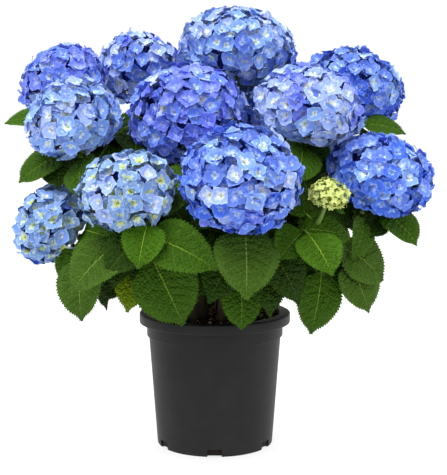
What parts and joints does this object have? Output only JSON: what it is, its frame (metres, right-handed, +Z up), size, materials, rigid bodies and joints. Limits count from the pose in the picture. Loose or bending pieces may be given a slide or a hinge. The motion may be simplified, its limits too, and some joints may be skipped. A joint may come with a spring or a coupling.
{
  "type": "potted hydrangea shrub",
  "caption": "Mophead hydrangea shrub in full bloom: fanning canes, domed flower heads and broad drooping leaves, growing in a round tapered nursery pot.",
  "frame": {"origin": "centre of the pot's flat underside", "axes": "+Z up along the pot's axis; -Y is the front of the shrub and +X its right as seen from the front"},
  "size_m": [0.6134, 0.5605, 0.6547],
  "materials": {
    "pot": "matt charcoal moulded plastic with a faint sheen",
    "potting_mix": "rough, dark brown bark-based mix with pale bits",
    "canes": "green to light brown bark, slightly ribbed, satin",
    "leaves": "quilted green leaf with paler veins, satin",
    "flower_heads": "soft matt blue petals with pale cream centres",
    "young_head": "soft matt cream and lime green petals"
  },
  "bodies": {
    "root": {"cane_back_left": "canes", "cane_back_right": "canes", "cane_bud": "canes", "cane_centre_left": "canes", "cane_far_left": "canes", "cane_front": "canes", "cane_left_front": "canes", "cane_low_left": "canes", "cane_rear_high": "canes", "cane_rear_left": "canes", "cane_rear_low": "canes", "cane_rear_right": "canes", "cane_rear_right_high": "canes", "cane_right_centre": "canes", "cane_right_front": "canes", "cane_side_left": "canes", "cane_top": "canes", "head_back_left": "flower_heads", "head_back_right": "flower_heads", "head_bud": "young_head", "head_centre_left": "flower_heads", "head_far_left": "flower_heads", "head_front": "flower_heads", "head_left_front": "flower_heads", "head_low_left": "flower_heads", "head_rear_high": "flower_heads", "head_rear_left": "flower_heads", "head_rear_low": "flower_heads", "head_rear_right": "flower_heads", "head_rear_right_high": "flower_heads", "head_right_centre": "flower_heads", "head_right_front": "flower_heads", "head_side_left": "flower_heads", "head_top": "flower_heads", "leaves_far_left_tip": "leaves", "leaves_far_right": "leaves", "leaves_front": "leaves", "leaves_front_left": "leaves", "leaves_front_low": "leaves", "leaves_front_right": "leaves", "leaves_heart_front": "leaves", "leaves_heart_left": "leaves", "leaves_heart_rear": "leaves", "leaves_heart_right": "leaves", "leaves_left": "leaves", "leaves_left_high": "leaves", "leaves_left_inner_low": "leaves", "leaves_left_low": "leaves", "leaves_left_mid": "leaves", "leaves_rear_far_right": "leaves", "leaves_rear_left": "leaves", "leaves_rear_mid": "leaves", "leaves_rear_right": "leaves", "leaves_right": "leaves", "leaves_right_high": "leaves", "leaves_right_low": "leaves", "leaves_under_bud": "leaves", "leaves_under_low_left": "leaves", "pot": "pot", "potting_mix": "potting_mix"}
  },
  "joints": []
}
